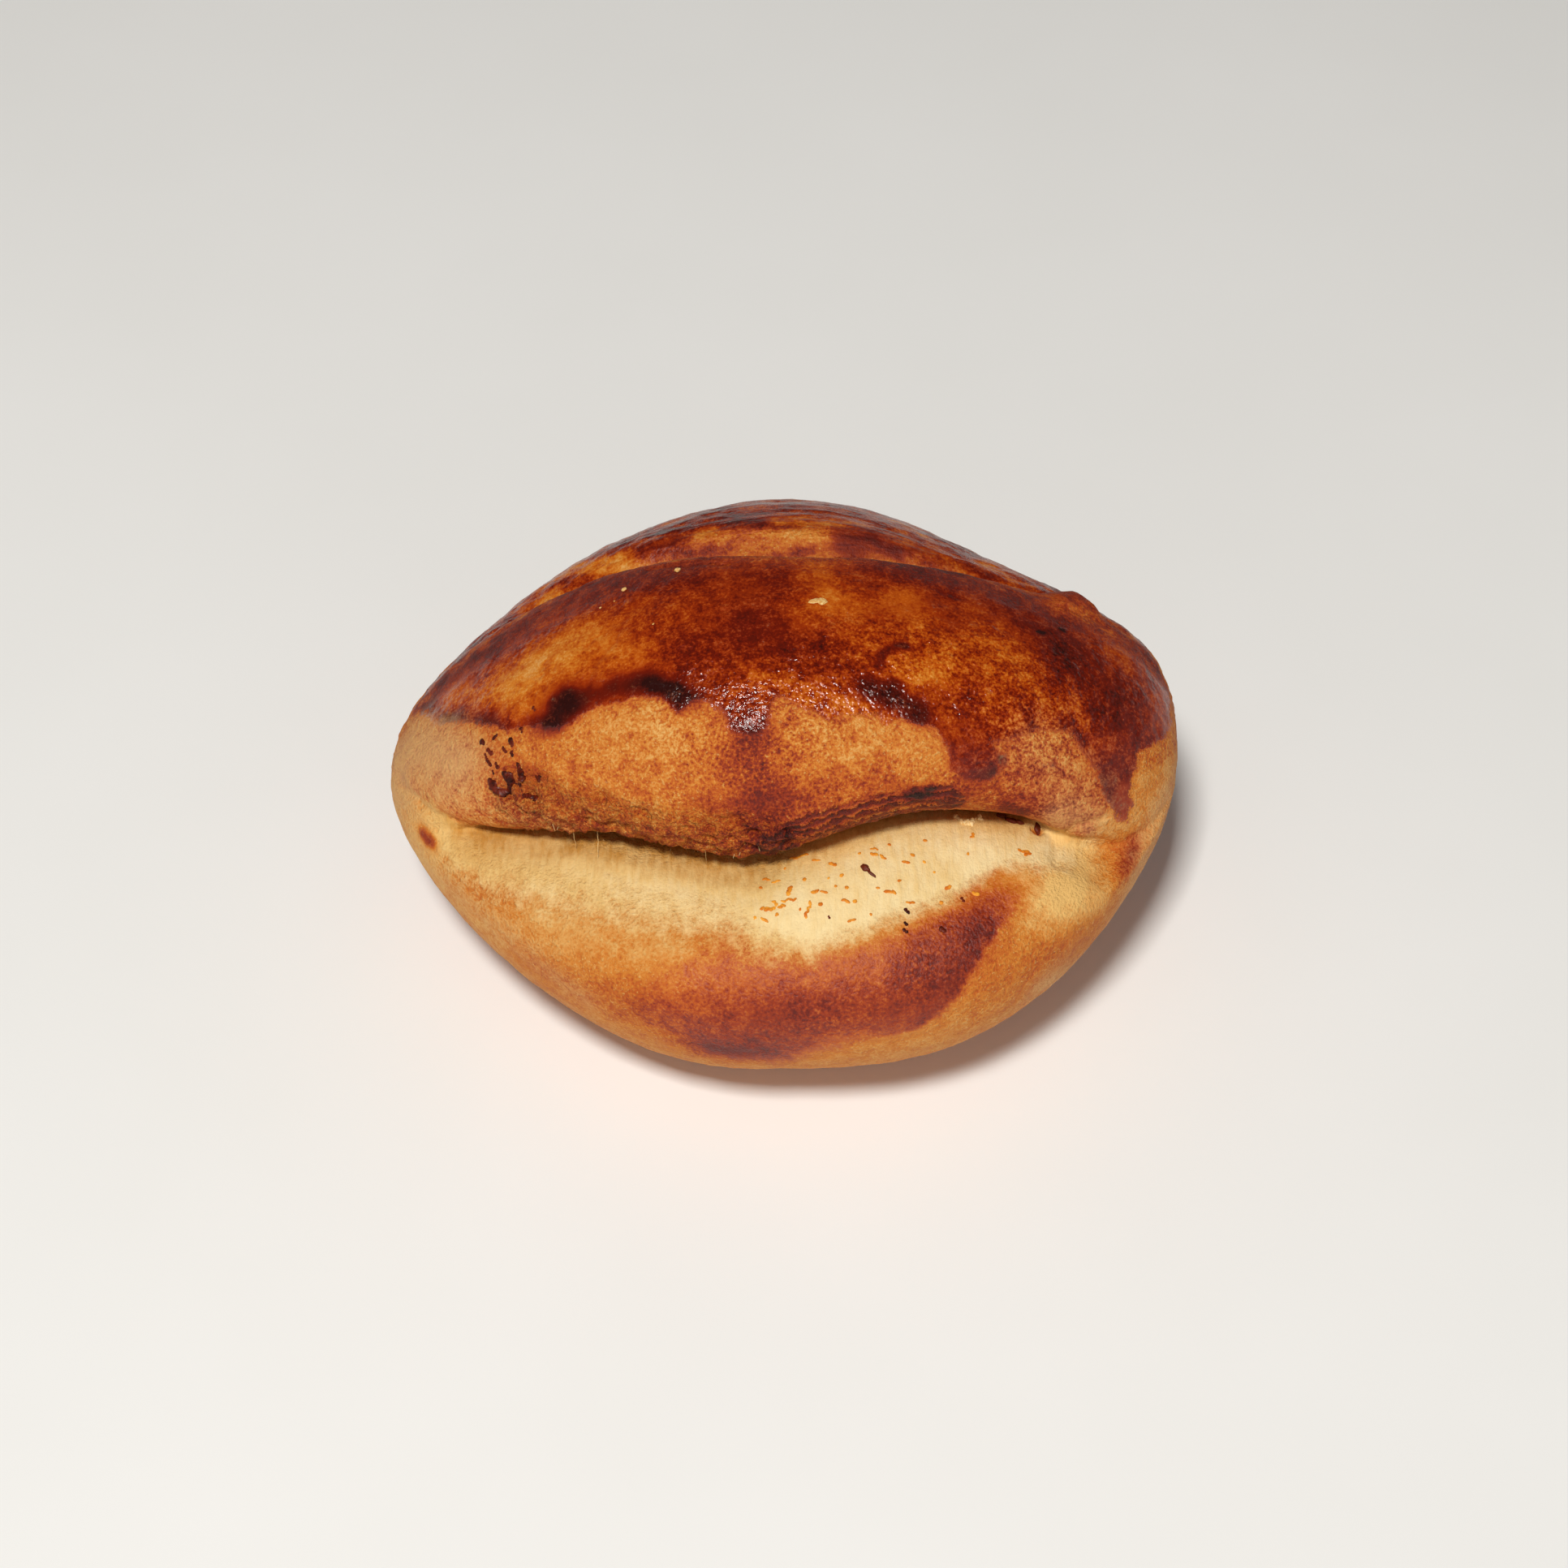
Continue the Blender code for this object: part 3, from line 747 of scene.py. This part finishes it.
def crust_tone(tree, crust, wash, noises):
    """How far every spot of the crust baked, from 0 to 1."""
    fine, small, broad, streaks = noises
    inside = rise(tree, wash, -0.25, 0.4)
    rim = sums(tree, "SUBTRACT", 1.0, rise(tree, wash, 0.3, 1.6))
    depth = total(
        tree, (crust.washed, 1.0), ("deeper", 0.8), (rim, 0.05), *about(broad, 0.5), *about(small, -0.2))
    grains = total(tree, *about(fine, 0.55), *about(small, 0.6))
    strength = total(
        tree, (1.0, 0.9), (broad, 1.2), (sums(tree, "MAXIMUM", "browned", 0.0), 1.6), ("glaze", -0.7),
        (inside, -0.5), ("sparkle", 0.7), ("smooth", -0.6),
    )
    # the field holds burnt crust and the painted shade of the mouth's hole
    patchy = total(tree, ("scorch_and_hole_shade", 1.0), *about(small, 1.1), *about(fine, 0.4))
    burnt = rise(tree, patchy, 0.08, 0.95)
    streaked = times(tree, sums(tree, "SUBTRACT", streaks, 0.5), "rear")
    streaked = times(tree, streaked, inside)
    # bare and glazed crust browns most, washed crust less
    bare = total(tree, (inside, -0.6), (1.0, 1.0))
    browned = times(tree, "browned", sums(tree, "MAXIMUM", bare, "glaze"))
    tone = total(
        tree, (times(tree, inside, depth), 1.0), (burnt, 0.42), (times(tree, burnt, burnt), 0.16),
        (streaked, 1.1), (browned, 1.0), (times(tree, grains, strength), -1.0), ("glaze", 0.1),
        (1.0, 0.38),
    )
    return tone, streaked


def crumb_colour(tree, crumb, fibres, broad):
    """The torn crumb's colour, with its fibres, darker under the upper lip, partly as painted shade."""
    torn = rise(tree, total(tree, (fibres, 0.5), (broad, 0.5)), 0.34, 0.74)
    # the deep field darkens the crumb under the lip: its own darker inside, and in part painted shade
    torn = total(tree, (torn, 0.5), ("deep", 0.75))
    return shades(tree, torn, (0.0, crumb.light), (0.5, crumb.shade), (1.0, crumb.deep))


def crust_material(crust, crumb):
    material, tree, shader = new_material("baked crust", Specular_IOR_Level=0.36)
    place = spots_in_mm(tree)
    fine, fine_height = baked_grain(tree, 0.42, 0.34)
    small = lumps(tree, place, 2.0, 5.0, 0.7)
    broad = lumps(tree, place, 9.0, 2.0)
    streaks = lumps(tree, place, 2.4, 4.0, 0.6, stretch=(0.14, 1.0, 1.0))
    # the edge of the wash is ragged at the size of the small lumps
    wash = total(tree, ("wash", 1.0), *about(small, 4.4), *about(fine, 1.6))
    tone, streaked = crust_tone(tree, crust, wash, (fine, small, broad, streaks))
    # burnt layers that run along the lip
    leaves = total(tree, ("arc", 5.0), (small, 14.0), (fine, 4.0))
    leafy = rise(tree, sums(tree, "SINE", leaves), -0.9, 0.7)
    layers = rise(tree, total(tree, ("layered", 1.0), *about(small, 1.6)), 0.15, 0.7)
    layered = times(tree, layers, total(tree, (leafy, 0.24), (1.0, 0.12)))
    tone = total(tree, (tone, 1.0), (layered, 1.0))
    bloom = total(tree, ("dull", 1.0), *about(small, 0.8), *about(fine, 0.8))
    bloomed = times(tree, rise(tree, bloom, 0.05, 1.0), 0.66)
    colour = mixed(tree, bloomed, toasted(tree, crust, tone), crust.bloom)
    # soft is 1 on the torn crumb, gloss on the wash and the glaze
    inner = total(tree, ("crumb", 1.0), *about(small, 2.0), *about(fine, 1.0), ("scorch_and_hole_shade", -6.0))
    soft = rise(tree, inner, -1.0, 0.7)
    fibres = lumps(tree, place, 0.8, 3.0, 0.6, stretch=(1.0, 0.22, 0.22))
    colour = mixed(tree, soft, colour, crumb_colour(tree, crumb, fibres, broad))
    crusty = sums(tree, "SUBTRACT", 1.0, soft)
    wet = sums(tree, "MAXIMUM", rise(tree, wash, -0.2, 0.3), times(tree, "glaze", 0.58))
    wet = times(tree, wet, total(tree, ("fold", -0.8), (1.0, 1.0)))
    gloss = times(tree, wet, crusty)
    # painted glints: tiny pale specks on the grain, where the crust would sparkle in the light
    painted_glints = rise(tree, lumps(tree, place, 0.4, 1.0), 0.62, 0.72)
    painted_glints = times(tree, painted_glints, times(tree, crusty, rise(tree, tone, 0.62, 0.42)))
    painted_glints = times(tree, painted_glints, total(tree, (gloss, -0.36), (1.0, 0.46)))
    colour = mixed(tree, painted_glints, colour, crust.pale)
    rough = total(
        tree, (gloss, -0.48), *about(fine, 0.3), *about(small, 0.3), (soft, 0.2), (layers, -0.2),
        (times(tree, gloss, "sparkle"), -0.08), (1.0, 0.72),
    )
    # heights: ridges of the wrinkled lip, the dry crust's grain, and the wash's peel and glints
    ridges = sums(tree, "ABSOLUTE", sums(tree, "SUBTRACT", lumps(tree, place, 1.7, 4.0, 0.65), 0.5))
    creased = total(tree, ("crags", 1.0), ("sparkle", 0.05), (1.0, 0.03))
    dry = total(tree, (gloss, -0.9), (soft, -0.7), (1.0, 1.0))
    rough_height = total(tree, (fine_height, 1.0), *about(small, 0.4), (painted_glints, 0.1))
    peel = total(tree, *about(lumps(tree, place, 1.3, 1.5), 1.0))
    peel = times(tree, peel, rise(tree, lumps(tree, place, 4.5, 1.0), 0.3, 0.7))
    broken = total(tree, *about(lumps(tree, place, 0.7, 1.0), 1.0))
    broken = times(tree, broken, total(tree, ("sparkle", 1.0), ("glaze", 0.6)))
    height = total(
        tree, (times(tree, rough_height, dry), 1.0), (streaked, 0.5),
        (times(tree, total(tree, (peel, 0.34), (broken, 0.22)), gloss), 1.0), (gloss, 0.05),
        (times(tree, ridges, creased), -2.6), (times(tree, leafy, layers), -0.22),
        (times(tree, fibres, soft), 0.3),
    )
    join(tree, shader, colour, rough, height)
    return material


def bit_material(name, light, dark, roughness, size=0.3):
    """A baked bit of two shades, mottled by the shared grain."""
    material, tree, shader = new_material(name, Specular_IOR_Level=0.15)
    shade, height = baked_grain(tree, size, 0.05)
    colour = mixed(tree, rise(tree, shade, 0.36, 0.64), light, dark)
    join(tree, shader, colour, total(tree, (shade, 0.2), (1.0, roughness - 0.1)), height)
    return material


# ---- small pieces


def set_on(point, normal, turn=0.0):
    """A matrix that lays a flat shape on the crust, its length along the roll before the turn."""
    up = normal.normalized()
    along = (Vector((1, 0, 0)) - up * up.x).normalized()
    side = up.cross(along)
    lay = Matrix((along, side, up)).transposed().to_4x4()
    return Matrix.Translation(point) @ lay @ Matrix.Rotation(math.radians(turn), 4, "Z")


def add_chip(form, point, normal, length, width, thickness, turn, draw, faces=2):
    """A thin uneven chip, half sunk in what it lies on."""
    made = bmesh.ops.create_icosphere(form, subdivisions=faces, radius=0.5 * MM)["verts"]
    shift = Vector((draw.random(), draw.random(), draw.random())) * 40
    for vert in made:
        vert.co *= 1.0 + 0.42 * noise.noise(vert.co / MM * 2.2 + shift)
    bmesh.ops.scale(form, verts=made, vec=(length, width, thickness))
    bmesh.ops.transform(form, verts=made, matrix=set_on(point, normal, turn))


def add_thread(form, points, radius):
    """A round thread through points."""
    made = bmesh.ops.create_circle(form, cap_ends=True, segments=5, radius=radius)["verts"]
    ahead = (points[1] - points[0]).normalized()
    turn = ahead.to_track_quat("Z", "Y").to_matrix().to_4x4()
    bmesh.ops.transform(form, verts=made, matrix=Matrix.Translation(points[0]) @ turn)
    face = made[0].link_faces[0]
    for first, second in zip(points, points[1:]):
        pushed = bmesh.ops.extrude_face_region(form, geom=[face])["geom"]
        bmesh.ops.delete(form, geom=[face], context="FACES_ONLY")
        face = next(item for item in pushed if isinstance(item, bmesh.types.BMFace))
        bmesh.ops.translate(form, verts=face.verts, vec=second - first)


def finished(form, name):
    """The bmesh as a smooth mesh."""
    bmesh.ops.recalc_face_normals(form, faces=form.faces)
    mesh = bpy.data.meshes.new(name)
    form.to_mesh(mesh)
    form.free()
    mesh.shade_smooth()
    return mesh


class POGACA_OT_roll(bpy.types.Operator):
    """The roll itself, with its relief, egg wash and crumb"""

    bl_idname = "pogaca.roll"
    bl_label = "Baked roll"

    def execute(self, context):
        scene = context.scene
        mesh = smooth_copy(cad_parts["pogaca"], levels=2)
        mesh.name = "baked_roll"
        skin = Skin(mesh)
        fields = crust_fields(skin)
        moves = relief(skin, fields) * scene.pogaca_crust.relief
        place_vertices(mesh, skin.points + vertex_rows(mesh, "normal") * moves[:, None] * MM)
        store_fields(mesh, fields)
        material = crust_material(scene.pogaca_crust, scene.pogaca_crumb)
        roll = add_piece("baked_roll", mesh, material)
        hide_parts("pogaca")
        return {"FINISHED"}


class POGACA_OT_specks(bpy.types.Operator):
    """Burnt specks baked onto the crust"""

    bl_idname = "pogaca.specks"
    bl_label = "Burnt specks"

    def execute(self, context):
        skin = crust_skin()
        draw = random.Random(3)
        form = bmesh.new()
        for half_width, *places in SPECKS:
            for start, end in zip(places, places[1:]):
                start, way = np.array(start), np.subtract(end, start)
                steps = max(1, round(math.hypot(*way) / 3.0))
                for step in range(steps + 1):
                    point, normal = skin.seen(*(start + step / steps * way))
                    size = half_width * draw.uniform(2.6, 4.2)
                    add_chip(form, point, normal, size, size * 0.9, 0.22, draw.uniform(0, 180), draw)
        crumb = context.scene.pogaca_crumb
        material = bit_material("burnt specks", crumb.speck, paint(50, 14, 8), 0.4, size=1.2)
        add_piece("burnt_specks", finished(form, "burnt_specks"), material)
        return {"FINISHED"}


class POGACA_OT_flecks(bpy.types.Operator):
    """Thin flecks of crust that lie on the crumb"""

    bl_idname = "pogaca.flecks"
    bl_label = "Flecks on the crumb"

    def execute(self, context):
        crumb = context.scene.pogaca_crumb
        skin = crust_skin()
        draw = random.Random(5)
        form = bmesh.new()
        for across, down, length, turn in FLECKS:
            point, normal = skin.seen(across, down)
            lay = set_on(point, normal, turn)
            width = draw.uniform(0.36, 0.66)
            parts = max(1, round(length / 0.5))
            for part in range(parts):
                shift = (part + 0.5) / parts - 0.5
                spot = lay @ Vector((shift * length * MM, draw.uniform(-0.1, 0.1) * MM, 0))
                spot, normal_here, _, _ = skin.tree.find_nearest(spot)
                add_chip(form, spot, normal_here, min(length, 0.8), width,
                         crumb.fleck_thickness / MM, turn + draw.uniform(-40, 40), draw)
        material = bit_material("crust flecks", crumb.fleck, paint(206, 108, 26), 0.5, size=1.6)
        add_piece("crust_flecks", finished(form, "crust_flecks"), material)
        return {"FINISHED"}


class POGACA_OT_bits(bpy.types.Operator):
    """The dark crumb in the mouth, and the loose crumbs on top"""

    bl_idname = "pogaca.bits"
    bl_label = "Loose bits"

    def execute(self, context):
        crumb = context.scene.pogaca_crumb
        skin = crust_skin()
        draw = random.Random(8)
        form = bmesh.new()
        for place, lift, *sizes, turn in DARK_BITS:
            point, normal = skin.seen(*place)
            add_chip(form, point + normal * lift * MM, normal, *sizes, turn, draw, faces=3)
        dark = bit_material("dark crumb", paint(96, 44, 22), crumb.speck, 0.4)
        add_piece("dark_crumb", finished(form, "dark_crumb"), dark)
        form = bmesh.new()
        point, normal = skin.seen(*TOP_FLAKE)
        for shift, length, width, turn in FLAKE_CHIPS:
            spot = set_on(point, normal) @ Vector((shift * MM, 0, 0.05 * MM))
            add_chip(form, spot, normal, length, width, 0.22, turn, draw, faces=3)
        for across, down, size in TOP_CRUMBS:
            point, normal = skin.seen(across, down)
            spot = point + normal * size * 0.3 * MM
            add_chip(form, spot, normal, size * 2.2, size * 1.8, size, 20, draw)
        pale = bit_material("pale crumbs", paint(232, 196, 132), paint(206, 148, 76), 0.6)
        add_piece("loose_crumbs", finished(form, "loose_crumbs"), pale)
        return {"FINISHED"}


class POGACA_OT_strands(bpy.types.Operator):
    """Strands of bread across the mouth, hairs on the lip and the torn tuft at its corner"""

    bl_idname = "pogaca.strands"
    bl_label = "Torn strands"

    def execute(self, context):
        skin = crust_skin()
        draw = random.Random(11)
        form = bmesh.new()
        for top, foot in STRANDS:
            start, _ = skin.seen(*top)
            end, _ = skin.seen(*foot)
            points = []
            for step in range(7):
                share = step / 6
                sag = Vector((draw.uniform(-0.1, 0.1), 0, -0.3 * math.sin(math.pi * share))) * MM
                points.append(start.lerp(end, share) + sag)
            add_thread(form, points, draw.uniform(0.025, 0.04) * MM)
        for across, down in HAIRS:
            start, _ = skin.seen(across, down)
            lean = Vector((draw.uniform(-0.4, 0.4), -0.5, -1.0)).normalized()
            length = draw.uniform(0.5, 1.1) * MM
            points = [start + lean * length * share for share in (-0.3, 0.2, 0.6, 1.0)]
            add_thread(form, points, 0.03 * MM)
        for across, down in TUFT:
            point, normal = skin.seen(across, down)
            for _ in range(5):
                shift = Vector((draw.uniform(-0.5, 0.5), draw.uniform(-0.3, 0.3), 0)) * MM
                add_chip(form, point + shift, normal, draw.uniform(0.7, 1.3), draw.uniform(0.3, 0.6),
                         draw.uniform(0.3, 0.8), draw.uniform(40, 130), draw)
        crumb = context.scene.pogaca_crumb
        material = bit_material("torn strands", crumb.light, crumb.shade, 0.7)
        add_piece("torn_strands", finished(form, "torn_strands"), material)
        return {"FINISHED"}


# ---- stage


def hold(name, data, place, facing):
    """A lamp or camera at place, whose back points the way of facing."""
    holder = new_object(name, data)
    holder.location = place
    holder.rotation_euler = facing.to_track_quat("Z", "Y").to_euler()
    return holder


def key_lamp(size, power):
    """A square lamp above, a little to the left in front, that faces the roll."""
    lamp = bpy.data.lights.new("key", "AREA")
    lamp.size = size
    lamp.energy = power
    lamp.color = (1.0, 0.98, 0.94)
    hold("key", lamp, KEY_PLACE, KEY_PLACE - VIEW_AIM)


def soft_world(strength):
    """Soft light from all round, brightest low down in front."""
    world = bpy.data.worlds.new("soft light")
    world.use_nodes = True
    tree = world.node_tree
    way = add(tree, "ShaderNodeTexCoord").outputs["Generated"]
    way = add(tree, "ShaderNodeSeparateXYZ", {0: way})
    behind = total(tree, (way.outputs["Z"], 1.0), (way.outputs["Y"], 0.5), (1.0, 0.3))
    glow = shades(tree, behind, (0.0, (1.0, 0.95, 0.89, 1)), (0.45, (0.5, 0.49, 0.48, 1)),
                  (0.8, (0.17, 0.16, 0.15, 1)), (1.0, (0.1, 0.095, 0.09, 1)))
    tree.links.new(glow, tree.nodes["Background"].inputs["Color"])
    tree.nodes["Background"].inputs["Strength"].default_value = strength
    return world


class POGACA_OT_stage(bpy.types.Operator):
    """The pale floor, the lights and the camera"""

    bl_idname = "pogaca.stage"
    bl_label = "Stage"

    def execute(self, context):
        stage = context.scene.pogaca_stage
        form = bmesh.new()
        bmesh.ops.create_grid(form, x_segments=4, y_segments=4, size=3.0)
        floor = new_object("floor", finished(form, "floor"))
        material, tree, shader = new_material("pale floor", Roughness=0.8)
        tone = mixed(tree, lumps(tree, spots_in_mm(tree), 60.0), stage.floor, paint(244, 244, 243))
        tree.links.new(tone, shader.inputs["Base Color"])
        floor.data.materials.append(material)
        floor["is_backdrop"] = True
        key_lamp(stage.key_size, stage.key_power)
        context.scene.world = soft_world(stage.sky)
        context.scene.view_settings.view_transform = "Standard"
        camera = bpy.data.cameras.new("camera")
        camera.sensor_width = SENSOR_WIDTH
        camera.lens = SENSOR_WIDTH * VIEW_DISTANCE / VIEW_WIDTH
        camera.clip_start = 0.01
        context.scene.camera = hold("camera", camera, VIEW_AIM + VIEW_BACK * VIEW_DISTANCE, VIEW_BACK)
        return {"FINISHED"}


class POGACA_PT_panel(bpy.types.Panel):
    """The roll's pieces and their settings"""

    bl_label = "Pogaca"
    bl_idname = "POGACA_PT_panel"
    bl_space_type = "VIEW_3D"
    bl_region_type = "UI"
    bl_category = "Pogaca"

    def draw(self, context):
        for group, kind in SETTINGS.items():
            for name in kind.__annotations__:
                self.layout.prop(getattr(context.scene, group), name)
        for operator in PIECES:
            self.layout.operator(operator.bl_idname)


SETTINGS = {"pogaca_crust": PogacaCrust, "pogaca_crumb": PogacaCrumb, "pogaca_stage": PogacaStage}
PIECES = (POGACA_OT_roll, POGACA_OT_specks, POGACA_OT_flecks, POGACA_OT_bits, POGACA_OT_strands,
          POGACA_OT_stage)


def register():
    for name, settings in SETTINGS.items():
        bpy.utils.register_class(settings)
        setattr(bpy.types.Scene, name, PointerProperty(type=settings))
    for operator in PIECES:
        bpy.utils.register_class(operator)
    bpy.utils.register_class(POGACA_PT_panel)


def unregister():
    bpy.utils.unregister_class(POGACA_PT_panel)
    for operator in reversed(PIECES):
        bpy.utils.unregister_class(operator)
    for name, settings in SETTINGS.items():
        delattr(bpy.types.Scene, name)
        bpy.utils.unregister_class(settings)


def main():
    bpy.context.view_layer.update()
    register()
    bpy.ops.pogaca.roll()
    bpy.ops.pogaca.specks()
    bpy.ops.pogaca.flecks()
    bpy.ops.pogaca.bits()
    bpy.ops.pogaca.strands()
    bpy.ops.pogaca.stage()


if __name__ == "__main__":
    main()
